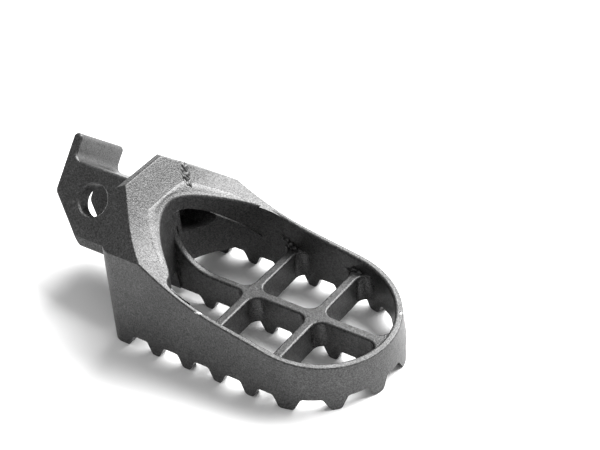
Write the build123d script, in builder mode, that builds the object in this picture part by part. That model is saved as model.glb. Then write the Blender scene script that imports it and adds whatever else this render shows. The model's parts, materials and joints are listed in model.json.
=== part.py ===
"""Wide steel motorcycle foot peg, lying on its teeth.

Frame: +X runs outboard along the peg, +Y across it, +Z up from the tips of the teeth.
The origin is the middle of the footprint, on the plane of the tips.
All sizes are in millimetres and degrees.
"""
from build123d import *
from math import cos, radians, sin, tan
import os

# ---------------------------------------------------------------- driving dimensions
half_width = 27.5        # half of the tread's width at the tips
draft = 4.5              # the outer wall leans in by this angle
arc_x = 33.8             # centre of the round outboard end
inner_radius = 24.0      # inside of the band, which has no draft
well_reach = inner_radius + 0.1
face_x = -26.2           # inboard face at the tips' plane
face_lean = 3.2          # the inboard face leans out by this angle

tooth_height = 4.1
notch_pitch = 11.8       # along the straight walls
notch_x = 33.3           # the outermost straight notch
straight_notches = 5
arc_notch_angle = 30.0   # round the outboard end
notch_foot = 0.39        # half width of a notch at the tips, as a share of its pitch
notch_head = 0.22        # half width of a notch at its top
tip_radius = 1.4
head_radius = 1.2

roof_near = (-10.1, 47.5)  # the collar's top edge runs between these, in Y and Z
roof_far = (7.7, 47.5)
roof_round = 4.0         # at its far end
shoulder_near = (-24.9, 32.8)  # the walls turn into the shoulders here, in Y and Z
shoulder_far = (25.0, 32.4)
roof_edge_z = 46.5       # the top falls away to here at the inboard face
end_corner = 4.6         # radius between the side walls and the inboard face

well_nose_x = -17.8      # inboard end of the well
well_shoulder_x = 6.0    # where the well reaches its full width
well_bend = ((-4.0, 20.4), (-10.2, 14.8))  # the side of the well passes here, in X and Y
plate_x = -20.7          # outboard face of the end plate
collar_end_x = -1.0      # the collar ends here, on the side walls
gusset_foot_z = 12.0     # clear height under the gussets
foot_near = -1.6         # the plate reaches lower between these, in Y
foot_far = 4.0

bar_x = (10.2, 33.8)     # the two cross bars
bar_thickness = 3.2
thin_half = 1.2          # half of the inboard rib's thickness
rib_top = 13.5
cell_radius = 3.6        # corner radius of the openings between bars
top_round = 0.7
collar_seam = ((-40, 38), (-21, 36.6), (collar_end_x, 15.2))  # underside of the collar, in X and Z
pocket_bite = 2.9         # depth of the pocket in the end plate
pocket_corners = (
    (2.6, 23.9), (10.2, 23.2), (12.8, 24.8), (12.8, 26.6), (9.0, 30.7), (2.6, 36.5),
)  # in Y and Z, over the far gusset
ledge = 0.45             # the far gusset stands proud of the collar by this much
lip_radius = 0.8         # the well's upper edge
rim_radius = 0.5         # the outer edge of the rim

tilt = 42.4              # the pivot axis leans by this angle
ear_outer = (0.75, 25.35)  # outer faces of the ears, along the pivot axis
ear_thickness = 5.0
bore_x = -46.0
bore_q = 19.9            # height of the bore over the tilted datum plane
bore_radius = 5.3
bore_chamfer = 0.5
tongue_end_x = -61.5
tongue_foot = 4.9        # lower edge of the ears
web_top = 30.2
web_thickness = 3.6
hook_top = 38.6
hook_thickness = 3.3
side_hole_radius = 2.5
side_hole_at = (-18.0, 23.4)  # in X and Z
side_hole_end = 14.5     # it ends blind at this Y
rib_notch_x = 34.3       # the ribs' notches sit 1 mm outboard of the walls'
sweep_radius = 14.0      # the inboard rib sweeps up to the end plate
bead = 1.7               # weld round the root of the tongue

os.makedirs("parts", exist_ok=True)
bar_half = bar_thickness / 2

# ---------------------------------------------------------------- sketches used more than once
sweep_line = [
    (61.8, 13.8), (41.8, 16.9), (23.8, 20.2), (6.8, 24.0), (-6.2, 29.8), (-16.2, 36.6), (-25.0, 46.4),
    (-26.1, 47.7),
]  # the walls' upper edge from the outboard end inwards, in X and Z


def footprint(radius, inboard_x):
    """Plan of a U: a straight part from inboard_x, and a round end."""
    with BuildSketch() as plan:
        with Locations(((inboard_x + arc_x) / 2, 0)):
            Rectangle(arc_x - inboard_x, 2 * radius)
        with Locations((arc_x, 0)):
            Circle(radius)
    return plan.sketch


def notch(pitch):
    """Section of one notch between two teeth, standing on the plane of the tips."""
    foot = notch_foot * pitch
    head = notch_head * pitch
    with BuildSketch() as section:
        with BuildLine():
            Polyline(
                (-pitch / 2, -1), (-pitch / 2, 0), (-foot, 0), (-head, tooth_height),
                (head, tooth_height), (foot, 0), (pitch / 2, 0), (pitch / 2, -1), close=True,
            )
        make_face()
        corners = section.vertices()
        fillet(corners.filter_by(lambda v: abs(abs(v.X) - foot) < 0.01), tip_radius)
        fillet(section.vertices().filter_by(lambda v: abs(v.Y - tooth_height) < 0.01), head_radius)
    return section.sketch


def well_plan(shift):
    """Plan of the open well; its far side is drawn in by shift."""
    far_side = [(x + 0.6 * shift, y - 0.8 * shift) for x, y in well_bend]
    near_side = [(x, -y) for x, y in reversed(well_bend)]
    far_shoulder_x = well_shoulder_x + 3 * shift
    with BuildSketch() as plan:
        with BuildLine():
            Spline(
                (far_shoulder_x, inner_radius), *far_side, (well_nose_x, 0), *near_side,
                (well_shoulder_x, -inner_radius), tangents=((-1, 0), (1, 0)),
            )
            Line((well_shoulder_x, -inner_radius), (arc_x, -inner_radius))
            CenterArc((arc_x, 0), inner_radius, -90, 180)
            Line((arc_x, inner_radius), (far_shoulder_x, inner_radius))
        make_face()
    return plan.sketch


def nearest_corner(sketch, corner):
    """The vertex of a sketch that lies nearest to a corner given in the sketch's own plane."""
    return sketch.vertices().sort_by(lambda v: (v.X - corner[0]) ** 2 + (v.Y - corner[1]) ** 2)[0]


def sweep_edges(solid):
    """The long curved edges that run round the top of the walls: outline first, then the well's lip."""
    long = solid.edges().filter_by(GeomType.BSPLINE)
    long = long.filter_by(lambda e: e.bounding_box().size.X > 3 and e.bounding_box().min.Z > rib_top)
    lip = long.filter_by(lambda e: e.bounding_box().min.Y > -well_reach)
    lip = lip.filter_by(lambda e: e.bounding_box().max.Y < well_reach)
    lip = lip.filter_by(lambda e: e.bounding_box().max.X > 0)
    return long - lip, lip


# ---------------------------------------------------------------- the walls as one envelope
lean = tan(radians(face_lean))
roof_edge_x = face_x - roof_edge_z * lean

with BuildPart() as envelope:
    add(footprint(half_width, -45))
    extrude(amount=60, taper=draft)
    with BuildSketch(Plane.XZ.offset(-40)):
        with BuildLine():
            Spline(sweep_line)
            Polyline(
                sweep_line[-1], (roof_edge_x, roof_edge_z), (face_x, 0), (70, 0), (70, sweep_line[0][1]),
                sweep_line[0],
            )
        make_face()
    extrude(amount=80, mode=Mode.INTERSECT)
    upright = envelope.edges().filter_by(lambda e: e.bounding_box().size.Z > 40)
    fillet(upright.filter_by(lambda e: e.center().X < face_x), end_corner)
    near_slope = (roof_near[1] - shoulder_near[1]) / (roof_near[0] - shoulder_near[0])
    far_slope = (roof_far[1] - shoulder_far[1]) / (roof_far[0] - shoulder_far[0])
    with BuildSketch(Plane.YZ.offset(-40)) as house:
        with BuildLine():
            Polyline(
                (-32, 0), (32, 0), (32, roof_far[1] + far_slope * (32 - roof_far[0])), roof_far, roof_near,
                (-32, roof_near[1] + near_slope * (-32 - roof_near[0])), close=True,
            )
        make_face()
        fillet(nearest_corner(house, roof_far), roof_round)
    extrude(amount=120, mode=Mode.INTERSECT)

# the same walls with the well cut through them and the upper edges rounded, before they are parted
with BuildPart() as shell:
    add(envelope.part)
    add(well_plan(0))
    extrude(amount=60, mode=Mode.SUBTRACT)
    outline, lip = sweep_edges(shell)
    fillet(outline, rim_radius)
    outline, lip = sweep_edges(shell)
    fillet(lip, lip_radius)

# the gaps between the teeth: straight ones across both walls, and radial ones round the end
with BuildPart() as tooth_gaps:
    for number in range(straight_notches):
        with BuildSketch(Plane.XZ.offset(-40)):
            with Locations((notch_x - number * notch_pitch, 0)):
                add(notch(notch_pitch))
        extrude(amount=80)
    arc_pitch = half_width * radians(arc_notch_angle)
    for step in range(1, 6):
        angle = radians(step * arc_notch_angle - 90)
        outward = Vector(cos(angle), sin(angle), 0)
        facing = Plane(origin=(arc_x, 0, 0), x_dir=(-sin(angle), cos(angle), 0), z_dir=outward)
        with BuildSketch(facing.offset(inner_radius - 4)):
            add(notch(arc_pitch))
        extrude(amount=10)

# ---------------------------------------------------------------- regions that part the walls
with BuildPart() as core:
    add(footprint(inner_radius, -45))
    extrude(amount=60)

with BuildPart() as collar_zone:
    with BuildSketch(Plane.XZ.offset(-40)):
        with BuildLine():
            Polyline(*collar_seam, (collar_end_x, 60), (-40, 60), close=True)
        make_face()
    extrude(amount=80)

with BuildPart() as side_drill:
    with BuildSketch(Plane.XZ.offset(-side_hole_end)):
        with Locations(side_hole_at):
            Circle(side_hole_radius)
    extrude(amount=-30)

with BuildPart() as pocket:
    with BuildSketch(Plane.YZ.offset(plate_x - pocket_bite)) as mouth:
        with BuildLine():
            Polyline(*pocket_corners, close=True)
        make_face()
        fillet(mouth.vertices(), 0.8)
    extrude(amount=30)

join_x = 2.0             # the inboard rib's sweep is drawn up to here
sweep_foot_x = well_nose_x + sweep_radius
sweep_top = rib_top + sweep_radius

# ---------------------------------------------------------------- walls, plate, collar and gussets
with BuildPart() as tread_band:
    add(shell.part)
    add(core.part, mode=Mode.SUBTRACT)
    add(collar_zone.part, mode=Mode.SUBTRACT)
    add(side_drill.part, mode=Mode.SUBTRACT)
    add(tooth_gaps.part, mode=Mode.SUBTRACT)


def side_wall(side):
    """The straight length of the band on one side; side is -1 or 1."""
    with BuildPart() as wall:
        add(tread_band.part)
        with Locations((arc_x, 0, 0)):
            keep = (Align.MAX, Align.MIN if side > 0 else Align.MAX, Align.CENTER)
            Box(90, 60, 120, align=keep, mode=Mode.INTERSECT)
    return wall


side_wall_near = side_wall(-1)
side_wall_near.part.label = "side_wall_near"
export_step(side_wall_near.part, "parts/side_wall_near.step")

side_wall_far = side_wall(1)
side_wall_far.part.label = "side_wall_far"
export_step(side_wall_far.part, "parts/side_wall_far.step")

with BuildPart() as end_band:
    add(tread_band.part)
    with Locations((arc_x, 0, 0)):
        Box(90, 120, 120, align=(Align.MIN, Align.CENTER, Align.CENTER), mode=Mode.INTERSECT)
end_band.part.label = "end_band"
export_step(end_band.part, "parts/end_band.step")

with BuildPart() as sloped_collar:
    add(shell.part)
    add(collar_zone.part, mode=Mode.INTERSECT)
sloped_collar.part.label = "sloped_collar"
export_step(sloped_collar.part, "parts/sloped_collar.step")

with BuildPart() as inner_walls:
    add(envelope.part)
    add(core.part, mode=Mode.INTERSECT)
    add(collar_zone.part, mode=Mode.SUBTRACT)
    add(pocket.part, mode=Mode.SUBTRACT)
    with BuildSketch(Plane.YZ.offset(-45)):
        with BuildLine():
            Polyline(
                (-30, -1), (-30, gusset_foot_z), (foot_near - 1.2, gusset_foot_z), (foot_near, tooth_height),
                (foot_far, tooth_height), (foot_far + 1.2, gusset_foot_z), (30, gusset_foot_z), (30, -1),
                close=True,
            )
        make_face()
    extrude(amount=60, mode=Mode.SUBTRACT)

with BuildPart() as end_plate:
    add(inner_walls.part)
    with Locations((plate_x, 0, 0)):
        Box(60, 80, 120, align=(Align.MAX, Align.CENTER, Align.CENTER), mode=Mode.INTERSECT)
end_plate.part.label = "end_plate"
export_step(end_plate.part, "parts/end_plate.step")


def corner_gusset(side):
    """The curved corner block on one side of the rib; side is -1 or 1."""
    with BuildPart() as block:
        add(inner_walls.part)
        with Locations((plate_x, 0, 0)):
            keep = (Align.MIN, Align.MIN if side > 0 else Align.MAX, Align.CENTER)
            Box(well_shoulder_x - plate_x, 60, 120, align=keep, mode=Mode.INTERSECT)
        add(well_plan(ledge if side > 0 else 0))
        extrude(amount=60, mode=Mode.SUBTRACT)
        with Locations((plate_x, 0, sweep_top)):
            Box(60, 2 * thin_half, 60, align=(Align.MIN, Align.CENTER, Align.MAX), mode=Mode.SUBTRACT)
        if side > 0:
            add(side_drill.part, mode=Mode.SUBTRACT)
    return block


corner_gusset_near = corner_gusset(-1)
corner_gusset_near.part.label = "corner_gusset_near"
export_step(corner_gusset_near.part, "parts/corner_gusset_near.step")

corner_gusset_far = corner_gusset(1)
corner_gusset_far.part.label = "corner_gusset_far"
export_step(corner_gusset_far.part, "parts/corner_gusset_far.step")

# ---------------------------------------------------------------- the grid of bars, rib and their welds
def cell_plan(low_x, high_x, half, side):
    """Plan of one opening between two bars, the rib and the wall; half is half of the rib's thickness."""
    with BuildSketch() as opening:
        add(footprint(inner_radius, -30))
        with Locations(((low_x + high_x) / 2, side * (half + 20))):
            Rectangle(high_x - low_x - bar_thickness, 40, mode=Mode.INTERSECT)
        fillet(opening.vertices(), cell_radius)
    return opening.sketch


cells = []
for side in (-1, 1):
    cells.append(cell_plan(-10, bar_x[0], thin_half, side))
    cells.append(cell_plan(bar_x[0], bar_x[1], bar_half, side))
    cells.append(cell_plan(bar_x[1], 80, bar_half, side))

with BuildPart() as grid:
    with BuildSketch(Plane.XY.offset(tooth_height)):
        add(footprint(inner_radius + 2, 0))
        add(cells, mode=Mode.SUBTRACT)
    extrude(amount=rib_top - tooth_height)
    brink = grid.edges().filter_by(lambda e: abs(e.bounding_box().min.Z - rib_top) < 0.01)
    brink = brink.filter_by(lambda e: abs(e.center().Y) < inner_radius + 1 and e.center().X > 0.01)
    fillet(brink, top_round)
    add(core.part, mode=Mode.INTERSECT)

with BuildPart() as rib_notches:
    for number in range(-2, 5):
        with BuildSketch(Plane.XZ.offset(-10)):
            with Locations((rib_notch_x - number * notch_pitch, 0)):
                add(notch(notch_pitch))
        extrude(amount=20)


def rib_slice(low_x, high_x, half):
    """One straight length of the middle rib, with its teeth, between two planes."""
    middle = (low_x + high_x) / 2
    with BuildPart() as length:
        add(grid.part)
        with Locations((middle, 0, rib_top / 2)):
            Box(high_x - low_x, 2 * half, rib_top + 1, mode=Mode.INTERSECT)
        with Locations((middle, 0, 0)):
            Box(high_x - low_x, 2 * half, tooth_height, align=(Align.CENTER, Align.CENTER, Align.MIN))
        add(rib_notches.part, mode=Mode.SUBTRACT)
        add(core.part, mode=Mode.INTERSECT)
    return length


def grid_slice(centre, size):
    """What the grid holds inside one upright box; centre and size are plan values."""
    with BuildPart() as block:
        add(grid.part)
        with Locations((centre[0], centre[1], rib_top / 2)):
            Box(size[0], size[1], rib_top + 1, mode=Mode.INTERSECT)
    return block


crossbar_inner = grid_slice((bar_x[0], 0), (bar_thickness, 60))
crossbar_inner.part.label = "crossbar_inner"
export_step(crossbar_inner.part, "parts/crossbar_inner.step")

crossbar_outer = grid_slice((bar_x[1], 0), (bar_thickness, 60))
crossbar_outer.part.label = "crossbar_outer"
export_step(crossbar_outer.part, "parts/crossbar_outer.step")

rib_middle = rib_slice(bar_x[0] + bar_half, bar_x[1] - bar_half, bar_half)
rib_middle.part.label = "rib_middle"
export_step(rib_middle.part, "parts/rib_middle.step")

rib_outboard = rib_slice(bar_x[1] + bar_half, arc_x + inner_radius, bar_half)
rib_outboard.part.label = "rib_outboard"
export_step(rib_outboard.part, "parts/rib_outboard.step")

# the inboard rib also climbs the end plate in one sweep, between the two gussets
foot_x = rib_notch_x - 4 * notch_pitch
with BuildPart() as rib_inboard:
    with BuildSketch(Plane.XZ.offset(-thin_half)):
        with BuildLine():
            Polyline(
                (sweep_foot_x, rib_top), (join_x, rib_top), (join_x, 0), (foot_x, 0), (foot_x, tooth_height),
                (plate_x, tooth_height), (plate_x, sweep_top), (sweep_foot_x - sweep_radius, sweep_top),
            )
            CenterArc((sweep_foot_x, sweep_top), sweep_radius, 180, 90)
        make_face()
    extrude(amount=2 * thin_half)
    swept = rib_inboard.edges().filter_by(lambda e: abs(abs(e.center().Y) - thin_half) < 0.01)
    swept = swept.filter_by(lambda e: e.bounding_box().min.Z > rib_top - 0.01 and e.center().X > plate_x + 1)
    swept = swept.filter_by(lambda e: e.bounding_box().max.X > well_nose_x + 1)
    fillet(swept, top_round)
    add(rib_notches.part, mode=Mode.SUBTRACT)
    add(rib_slice(join_x, bar_x[0] - bar_half, thin_half).part)
rib_inboard.part.label = "rib_inboard"
export_step(rib_inboard.part, "parts/rib_inboard.step")


def crossing_welds(bar, inboard_half):
    """The four fillets where the rib crosses one bar; inboard_half is half of the rib's inboard part."""
    with BuildPart() as corners:
        for side_x in (-1, 1):
            half = inboard_half if side_x < 0 else bar_half
            for side_y in (-1, 1):
                centre = (bar + side_x * (bar_half + cell_radius / 2), side_y * (half + cell_radius / 2))
                add(grid_slice(centre, (cell_radius, cell_radius)).part)
    return corners


def wall_welds(bar, low_x):
    """The four fillets where one bar meets the two side walls, outboard of low_x."""
    with BuildPart() as corners:
        for side_x in (-1, 1):
            low = max(bar - bar_half - cell_radius - 1, low_x) if side_x < 0 else bar + bar_half
            high = bar - bar_half if side_x < 0 else bar + bar_half + cell_radius + 2
            for side_y in (-1, 1):
                centre = ((low + high) / 2, side_y * (inner_radius - 3))
                add(grid_slice(centre, (high - low, 8)).part)
    return corners


crossing_welds_inner = crossing_welds(bar_x[0], thin_half)
crossing_welds_inner.part.label = "crossing_welds_inner"
export_step(crossing_welds_inner.part, "parts/crossing_welds_inner.step")

crossing_welds_outer = crossing_welds(bar_x[1], bar_half)
crossing_welds_outer.part.label = "crossing_welds_outer"
export_step(crossing_welds_outer.part, "parts/crossing_welds_outer.step")

wall_welds_inner = wall_welds(bar_x[0], well_shoulder_x)
wall_welds_inner.part.label = "wall_welds_inner"
export_step(wall_welds_inner.part, "parts/wall_welds_inner.step")

wall_welds_outer = wall_welds(bar_x[1], well_shoulder_x)
wall_welds_outer.part.label = "wall_welds_outer"
export_step(wall_welds_outer.part, "parts/wall_welds_outer.step")

with BuildPart() as rib_end_welds:
    for side in (-1, 1):
        add(grid_slice((arc_x + inner_radius - 3, side * (bar_half + 3)), (6, 6)).part)
rib_end_welds.part.label = "rib_end_welds"
export_step(rib_end_welds.part, "parts/rib_end_welds.step")

# ---------------------------------------------------------------- the tongue: two ears, a web and a stop hook
lean_over = radians(tilt)
width = ear_outer[1] - ear_outer[0]
web_foot = web_top - web_thickness
hook_x = tongue_end_x + hook_thickness
root_radius = 2.5        # between the hook and the web
hook_round = 1.6
ear_foot = (-46.5, tongue_foot)  # the ears' lower edge rises from here to their toe, in X and height
ear_toe = (tongue_end_x, 18.6)
ear_round = 1.0          # along the rims of the ears
block_end = -24.0        # the block runs into the body before it is trimmed


def tilted(reach):
    """Plane square to the pivot axis, at a distance along it; its axes are X and the ears' height."""
    return Plane(
        origin=(0, -reach * cos(lean_over), reach * sin(lean_over)), x_dir=(1, 0, 0),
        z_dir=(0, -cos(lean_over), sin(lean_over)),
    )


def slab(reach, along, across, up):
    """A box in the tongue's tilted frame: from reach, along the axis, between the across and up limits."""
    with BuildPart() as box:
        with BuildSketch(tilted(reach)):
            with Locations(((across[0] + across[1]) / 2, (up[0] + up[1]) / 2)):
                Rectangle(across[1] - across[0], up[1] - up[0])
        extrude(amount=along)
    return box.part


channel = slab(ear_outer[0] + ear_thickness, width - 2 * ear_thickness, (-80, -10), (-10, web_foot))

with BuildPart() as tongue:
    with BuildSketch(tilted(ear_outer[0])) as profile:
        with BuildLine():
            Polyline(
                (hook_x, web_top), (block_end, web_top), (block_end, tongue_foot), ear_foot, ear_toe,
                (tongue_end_x, hook_top), (hook_x, hook_top), close=True,
            )
        make_face()
        for corner, radius in (
            ((hook_x, web_top), root_radius), (ear_foot, 2.0), (ear_toe, 3.0),
            ((tongue_end_x, hook_top), hook_round), ((hook_x, hook_top), hook_round),
        ):
            fillet(nearest_corner(profile, corner), radius)
    extrude(amount=width)
    end_faces = tongue.faces().filter_by(Axis((0, 0, 0), (0, -cos(lean_over), sin(lean_over))))
    rims = end_faces.edges().filter_by(lambda e: e.center().X < block_end - 0.1)
    fillet(rims, ear_round)
    # a shallow bevel along the lower edge of each ear
    end_plane = Plane(origin=(-70, 0, 0), x_dir=(0, -cos(lean_over), sin(lean_over)), z_dir=(-1, 0, 0))
    for outer, inward in ((ear_outer[0], 1), (ear_outer[1], -1)):
        with BuildSketch(end_plane):
            with BuildLine():
                Polyline(
                    (outer, 10.4), (outer + inward * 0.45, 7.4), (outer + inward * 1.9, 4.0),
                    (outer - inward * 2, 4.0), (outer - inward * 2, 10.4), close=True,
                )
            make_face()
        extrude(amount=-60, mode=Mode.SUBTRACT)
    add(channel, mode=Mode.SUBTRACT)
    with BuildSketch(tilted(ear_outer[0])):
        with Locations((bore_x, bore_q)):
            Circle(bore_radius)
    extrude(amount=width, mode=Mode.SUBTRACT)
    mouths = tongue.edges().filter_by(GeomType.CIRCLE).filter_by(lambda e: abs(e.radius - bore_radius) < 0.01)
    mouths = mouths.sort_by(Axis((0, 0, 0), (0, -cos(lean_over), sin(lean_over))))
    chamfer([mouths[0], mouths[-1]], bore_chamfer)
    # trim at the leaning face
    with BuildSketch(Plane.XZ.offset(-60)):
        with BuildLine():
            Polyline((face_x, 0), (face_x - 60 * lean, 60), (0, 60), (0, 0), close=True)
        make_face()
    extrude(amount=120, mode=Mode.SUBTRACT)


def tongue_piece(reach, along, across, up):
    """What the tongue holds inside one tilted box."""
    with BuildPart() as piece:
        add(tongue.part)
        add(slab(reach, along, across, up), mode=Mode.INTERSECT)
    return piece


upper_ear = tongue_piece(ear_outer[1] - ear_thickness, 10, (-80, 0), (0, web_foot))
upper_ear.part.label = "upper_ear"
export_step(upper_ear.part, "parts/upper_ear.step")

lower_ear = tongue_piece(ear_outer[0] - 5, 5 + ear_thickness, (-80, 0), (0, web_foot))
lower_ear.part.label = "lower_ear"
export_step(lower_ear.part, "parts/lower_ear.step")

tongue_web = tongue_piece(-5, 40, (hook_x + root_radius, 0), (web_foot, 50))
tongue_web.part.label = "tongue_web"
export_step(tongue_web.part, "parts/tongue_web.step")

stop_hook = tongue_piece(-5, 40, (-80, hook_x + root_radius), (web_foot, 50))
stop_hook.part.label = "stop_hook"
export_step(stop_hook.part, "parts/stop_hook.step")

# a bead of weld round the root of the tongue, left open across the channel's mouth
tip = radians(face_lean)
inboard = Vector(-cos(tip), 0, -sin(tip))
along_axis = Vector(0, -cos(lean_over), sin(lean_over))
along_axis = along_axis - inboard * along_axis.dot(inboard)
with BuildPart() as root_weld:
    with BuildSketch(Plane(origin=(face_x, 0, 0), x_dir=along_axis, z_dir=inboard)):
        with Locations(((ear_outer[0] + ear_outer[1]) / 2, (tongue_foot + web_top) / 2)):
            RectangleRounded(width + 2 * bead, web_top - tongue_foot + 2 * bead, bead + 1)
    extrude(amount=bead, taper=45)
    add(tongue.part, mode=Mode.SUBTRACT)
    add(channel, mode=Mode.SUBTRACT)
    Box(200, 200, 2 * tooth_height, mode=Mode.SUBTRACT)
root_weld.part.label = "root_weld"
export_step(root_weld.part, "parts/root_weld.step")
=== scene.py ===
"""The look of the foot peg: black satin coating on steel, lying on its teeth on a pale floor."""
import json
import math

import bpy
from mathutils import Matrix, Vector, noise as field_noise


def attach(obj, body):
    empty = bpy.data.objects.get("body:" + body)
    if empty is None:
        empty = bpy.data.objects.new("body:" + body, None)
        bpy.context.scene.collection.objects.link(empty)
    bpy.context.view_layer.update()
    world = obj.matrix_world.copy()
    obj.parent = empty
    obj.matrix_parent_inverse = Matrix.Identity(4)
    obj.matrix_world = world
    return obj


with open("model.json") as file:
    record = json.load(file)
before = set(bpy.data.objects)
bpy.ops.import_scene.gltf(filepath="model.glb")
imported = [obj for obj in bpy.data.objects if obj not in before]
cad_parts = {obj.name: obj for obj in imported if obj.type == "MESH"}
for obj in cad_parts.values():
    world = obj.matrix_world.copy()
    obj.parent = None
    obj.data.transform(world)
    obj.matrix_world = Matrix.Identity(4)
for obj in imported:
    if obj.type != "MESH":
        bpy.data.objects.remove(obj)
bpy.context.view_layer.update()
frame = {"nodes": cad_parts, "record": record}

scene = bpy.context.scene
MM = 0.001


# ---------------------------------------------------------------- camera
def look(obj, place, forward, up):
    """Put obj at place, facing forward, with up upwards in its view."""
    back = -Vector(forward).normalized()
    right = Vector(up).cross(back).normalized()
    true_up = back.cross(right)
    turn = Matrix((right, true_up, back)).transposed()
    obj.matrix_world = Matrix.Translation(place) @ turn.to_4x4()


camera_data = bpy.data.cameras.new("camera")
camera_data.sensor_width = 36.0
camera_data.lens = 94.92
camera = bpy.data.objects.new("camera", camera_data)
scene.collection.objects.link(camera)
look(camera, (0.25182, -0.28879, 0.32455), (-0.48243, 0.63133, -0.60721), (-0.29319, 0.53685, 0.79111))
scene.camera = camera


# ---------------------------------------------------------------- node helpers
def material(name):
    """A new material with only its output and a Principled shader."""
    made = bpy.data.materials.new(name)
    made.use_nodes = True
    return made, made.node_tree, made.node_tree.nodes["Principled BSDF"]


def noise(tree, scale, detail=4.0, roughness=0.6, distortion=0.0):
    """Noise in the row frame; scale is per metre."""
    place = tree.nodes.new("ShaderNodeTexCoord")
    field = tree.nodes.new("ShaderNodeTexNoise")
    field.inputs["Scale"].default_value = scale
    field.inputs["Detail"].default_value = detail
    field.inputs["Roughness"].default_value = roughness
    field.inputs["Distortion"].default_value = distortion
    tree.links.new(place.outputs["Object"], field.inputs["Vector"])
    return field.outputs["Fac"]


def ramp(tree, value, stops):
    """A colour ramp over value; stops are (position, grey or colour)."""
    node = tree.nodes.new("ShaderNodeValToRGB")
    while len(node.color_ramp.elements) < len(stops):
        node.color_ramp.elements.new(0.5)
    for element, (position, shade) in zip(node.color_ramp.elements, stops):
        element.position = position
        element.color = (shade, shade, shade, 1.0) if isinstance(shade, float) else (*shade, 1.0)
    tree.links.new(value, node.inputs["Fac"])
    return node.outputs["Color"]


def bump(tree, height, strength, distance, below=None):
    """A bump node; distance is in metres."""
    node = tree.nodes.new("ShaderNodeBump")
    node.inputs["Strength"].default_value = strength
    node.inputs["Distance"].default_value = distance
    tree.links.new(height, node.inputs["Height"])
    if below is not None:
        tree.links.new(below, node.inputs["Normal"])
    return node.outputs["Normal"]


# ---------------------------------------------------------------- the coating
def mix(tree, kind, factor, first, second):
    """A colour mix of two sockets; factor is a constant."""
    node = tree.nodes.new("ShaderNodeMixRGB")
    node.blend_type = kind
    node.inputs["Fac"].default_value = factor
    tree.links.new(first, node.inputs["Color1"])
    tree.links.new(second, node.inputs["Color2"])
    return node.outputs["Color"]


def black_coat(name, dark, light, rough_low, rough_high, grain, gloss=0.62):
    """Satin black coating with a fine grain and pale speckles."""
    made, tree, shader = material(name)
    cloud = ramp(tree, noise(tree, 90, 5.0), ((0.35, dark), (0.65, light)))
    speckle = ramp(tree, noise(tree, 1500, 2.0, 0.8), ((0.42, 0.6), (0.53, 1.0), (0.64, 2.6)))
    tree.links.new(mix(tree, "MULTIPLY", 1.0, cloud, speckle), shader.inputs["Base Color"])
    fine = noise(tree, 2100, 2.0, 0.7)
    worn = ramp(tree, noise(tree, 160, 4.0, 0.7), ((0.3, rough_low), (0.7, rough_high)))
    gritty = ramp(tree, fine, ((0.3, 0.86), (0.7, 1.14)))
    tree.links.new(mix(tree, "MULTIPLY", 1.0, worn, gritty), shader.inputs["Roughness"])
    lumps = bump(tree, noise(tree, 300, 3.0), 0.3, 0.0003)
    tree.links.new(bump(tree, fine, grain, 0.0002, lumps), shader.inputs["Normal"])
    sheen = ramp(tree, fine, ((0.4, 0.62 * gloss), (0.6, 1.38 * gloss)))
    tree.links.new(sheen, shader.inputs["Specular IOR Level"])
    return made


coat = black_coat("black_coat", 0.010, 0.019, 0.36, 0.46, 0.6)
weld = black_coat("coated_weld", 0.007, 0.013, 0.24, 0.36, 0.4)
# a lighter, glossier coat for the swell round the well's edge: a painted highlight, not wear
painted_lip_highlight = black_coat("painted_highlight_coat", 0.018, 0.030, 0.36, 0.44, 0.6, 0.74)

bare, tree, shader = material("bare_steel")
tree.links.new(ramp(tree, noise(tree, 3000), ((0.3, 0.5), (0.7, 0.8))), shader.inputs["Base Color"])
shader.inputs["Metallic"].default_value = 1.0
shader.inputs["Roughness"].default_value = 0.45

slots = {part["node"]: part["material_slot"] for part in frame["record"]["subparts"]}
for node, obj in frame["nodes"].items():
    chosen = weld if slots[node] == "coated_weld" else coat
    for place in obj.material_slots:
        place.material = chosen


# ---------------------------------------------------------------- surface detail on the collar and bars
collar = frame["nodes"]["sloped_collar"]


def mesh_piece(name, points, faces, look_of):
    """A new smooth mesh object in the row frame, riding on the root."""
    mesh = bpy.data.meshes.new(name)
    mesh.from_pydata(points, [], faces)
    mesh.materials.append(look_of)
    mesh.polygons.foreach_set("use_smooth", [True] * len(mesh.polygons))
    mesh.update()
    piece = bpy.data.objects.new(name, mesh)
    scene.collection.objects.link(piece)
    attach(piece, "root")
    return piece


ABOVE_PART = 60 * MM         # rays start here
UNDERSIDE_LIMIT = 20 * MM    # the collar's upper face is higher than this
OFF_COLLAR_HEIGHT = 30 * MM  # for patch points that miss the collar


def skin_height(x, y):
    """Height of the collar's upper face over a plan point, or None where there is no collar."""
    hit, point, _, _ = collar.ray_cast(Vector((x, y, ABOVE_PART)), Vector((0, 0, -1)))
    return point.z if hit and point.z > UNDERSIDE_LIMIT else None


def lip_radius(angle):
    """Distance in plan from the origin to the well's edge, in a direction."""
    low, high = 0.010, 0.024 / max(abs(math.sin(angle)), 0.75)
    for _ in range(18):
        middle = (low + high) / 2
        if skin_height(middle * math.cos(angle), middle * math.sin(angle)) is None:
            low = middle
        else:
            high = middle
    return high


def roughness_at(x, y, z, size):
    """Smooth noise from -1 to 1 with features of a given size."""
    return field_noise.noise(Vector((x / size, y / size, z / size)))


def skin_patch(name, rows, height, look_of):
    """A patch of quads over the collar; rows hold plan points, height gives the rise at each."""
    points = []
    for i, row in enumerate(rows):
        for j, (x, y) in enumerate(row):
            points.append((x, y, (skin_height(x, y) or OFF_COLLAR_HEIGHT) + height(i, j, x, y)))
    width = len(rows[0])
    faces = []
    for i in range(len(rows) - 1):
        for j in range(width - 1):
            first = i * width + j
            faces.append((first, first + 1, first + width + 1, first + width))
    return mesh_piece(name, points, faces, look_of)
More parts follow.
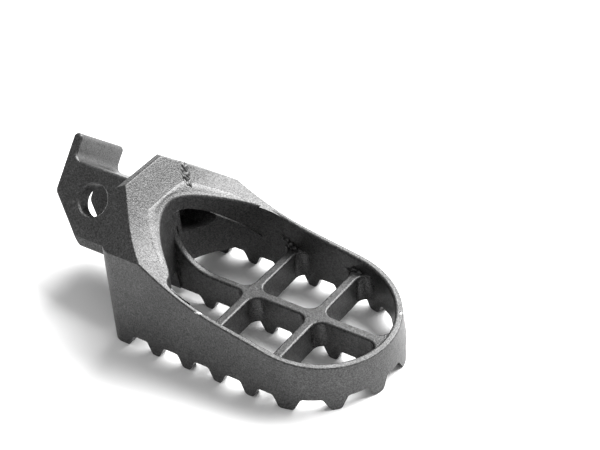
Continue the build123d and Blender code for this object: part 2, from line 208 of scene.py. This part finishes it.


# a low swell round the well's edge, in a lighter, glossier coat: a painted highlight along the edge
SWELL_ROWS = 130
SWELL_COLUMNS = 18
SWELL_START = 107        # degrees from +X, on the far side
SWELL_TURN = 146         # degrees, on to the near side
SWELL_MARGIN = 0.7 * MM  # clear of the well's edge
COLLAR_REACH = 19.6 * MM  # inboard from the origin
swell_rows = []
for i in range(SWELL_ROWS):
    share = i / (SWELL_ROWS - 1)
    angle = math.radians(SWELL_START + SWELL_TURN * share)
    edge = lip_radius(angle) + SWELL_MARGIN
    reach = (1.6 + 1.9 * math.sin(math.pi * share)) * MM
    if abs(math.cos(angle)) > 0.5:
        reach = min(reach, COLLAR_REACH / abs(math.cos(angle)) - edge)
    row = []
    for j in range(SWELL_COLUMNS):
        radius = edge + reach * j / (SWELL_COLUMNS - 1)
        row.append((radius * math.cos(angle), radius * math.sin(angle)))
    swell_rows.append(row)


def swell_height(i, j, x, y):
    """Rise of the swell: highest near its outer third, sunk at every edge."""
    along = math.sin(math.pi * i / (SWELL_ROWS - 1)) ** 0.6
    across = j / (SWELL_COLUMNS - 1)
    rise = math.sin(math.pi * across) ** 1.3 * (0.7 + 0.5 * across)
    ripple = 0.05 * roughness_at(x, y, 0, 1.6 * MM) + 0.03 * roughness_at(x, y, 0, 0.6 * MM)
    return (0.32 * rise * along + ripple * rise - 0.05) * MM


skin_patch("lip_swell", swell_rows, swell_height, painted_lip_highlight)

# a lumpy run of weld across the collar; plan points in millimetres
RUN = ((-23.6, 14.4), (-21.4, 12.6), (-19.8, 10.8), (-19.0, 9.6), (-17.5, 9.4), (-16.3, 8.9))
RUN_STEPS = 12
RUN_COLUMNS = 13
run_rows = []
for k in range(len(RUN) - 1):
    start, end = Vector(RUN[k]), Vector(RUN[k + 1])
    side = Vector((-(end - start).y, (end - start).x)).normalized()
    for step in range(RUN_STEPS):
        centre = start.lerp(end, step / RUN_STEPS)
        half = 1.35 + 0.7 * roughness_at(centre.x, centre.y, 3, 1.1)
        row = []
        for j in range(RUN_COLUMNS):
            spot = centre + side * half * (2 * j / (RUN_COLUMNS - 1) - 1)
            row.append((spot.x * MM, spot.y * MM))
        run_rows.append(row)


def run_height(i, j, x, y):
    """Rise of the lumpy run, sunk at every edge."""
    along = math.sin(math.pi * i / (len(run_rows) - 1)) ** 0.4
    across = math.sin(math.pi * j / (RUN_COLUMNS - 1))
    lumps = 0.5 + 0.9 * roughness_at(x, y, 0, 0.9 * MM) + 0.45 * roughness_at(x, y, 0, 0.4 * MM)
    return (max(lumps, 0.0) * across * along - 0.06) * MM


skin_patch("weld_run", run_rows, run_height, weld)


def lump(centre, radii, seed):
    """Points and faces of one lumpy blob."""
    points, faces = [], []
    rings, spokes = 9, 14
    for i in range(rings + 1):
        polar = math.pi * i / rings
        for j in range(spokes):
            turn = 2 * math.pi * j / spokes
            flat = math.sin(polar)
            out = Vector((flat * math.cos(turn), flat * math.sin(turn), math.cos(polar)))
            swell = 1 + 0.35 * field_noise.noise(out * 1.7 + Vector((seed, 0, 0)))
            points.append(tuple((centre[a] + out[a] * radii[a] * swell) * MM for a in range(3)))
    for i in range(rings):
        for j in range(spokes):
            after = (j + 1) % spokes
            faces.append((i * spokes + j, (i + 1) * spokes + j, (i + 1) * spokes + after, i * spokes + after))
    return points, faces


def lump_group(name, lumps, look_of):
    """Several blobs in one mesh; each is (centre, radii) in millimetres."""
    points, faces = [], []
    for seed, (centre, radii) in enumerate(lumps):
        more, around = lump(centre, radii, seed * 3.1)
        faces += [tuple(len(points) + k for k in face) for face in around]
        points += more
    return mesh_piece(name, points, faces, look_of)


# weld metal left where the cross bars meet the far wall
lump_group("bar_end_lumps", (
    ((7.0, 23.9, 15.6), (1.3, 0.7, 0.8)), ((8.6, 23.6, 14.5), (1.1, 0.9, 0.9)),
    ((10.2, 23.3, 13.9), (1.3, 1.0, 0.7)), ((12.2, 23.6, 13.3), (1.2, 0.7, 0.8)),
    ((32.4, 23.6, 13.7), (1.3, 0.8, 0.7)), ((34.6, 23.5, 13.4), (1.2, 0.9, 0.7)),
    ((36.6, 23.6, 12.6), (1.0, 0.7, 0.8)), ((5.4, 23.9, 16.9), (0.7, 0.45, 0.6)),
), weld)

# chips where the coating has come off the rim
lump_group("rim_chips", (
    ((9.6, -25.2, 23.15), (1.5, 0.45, 0.2)), ((56.4, 12.2, 14.45), (0.4, 0.75, 0.18)),
), bare)

# ---------------------------------------------------------------- floor and light
FLOOR_GAP = 0.1 * MM  # keeps the floor off the tips of the teeth
bpy.ops.mesh.primitive_plane_add(size=6, location=(0, 0, -FLOOR_GAP))
floor = bpy.context.object
floor.name = "floor"
paper, tree, shader = material("paper")
shader.inputs["Base Color"].default_value = (0.86, 0.86, 0.86, 1)
shader.inputs["Roughness"].default_value = 0.9
shader.inputs["Specular IOR Level"].default_value = 0.1
floor.data.materials.append(paper)

world = bpy.data.worlds.new("world")
world.use_nodes = True
sky = world.node_tree.nodes["Background"]
sky.inputs["Color"].default_value = (1, 1, 1, 1)
sky.inputs["Strength"].default_value = 0.6
scene.world = world


def softbox(name, place, target, width, height, power):
    """A rectangular area light at place, facing target."""
    data = bpy.data.lights.new(name, "AREA")
    data.shape = "RECTANGLE"
    data.size = width
    data.size_y = height
    data.energy = power
    light = bpy.data.objects.new(name, data)
    scene.collection.objects.link(light)
    look(light, place, Vector(target) - Vector(place), (0, 0, 1))


softbox("overhead", (0.20, 0.66, 0.72), (0.0, 0.0, 0.02), 1.0, 0.8, 40)

scene.view_settings.view_transform = "Standard"
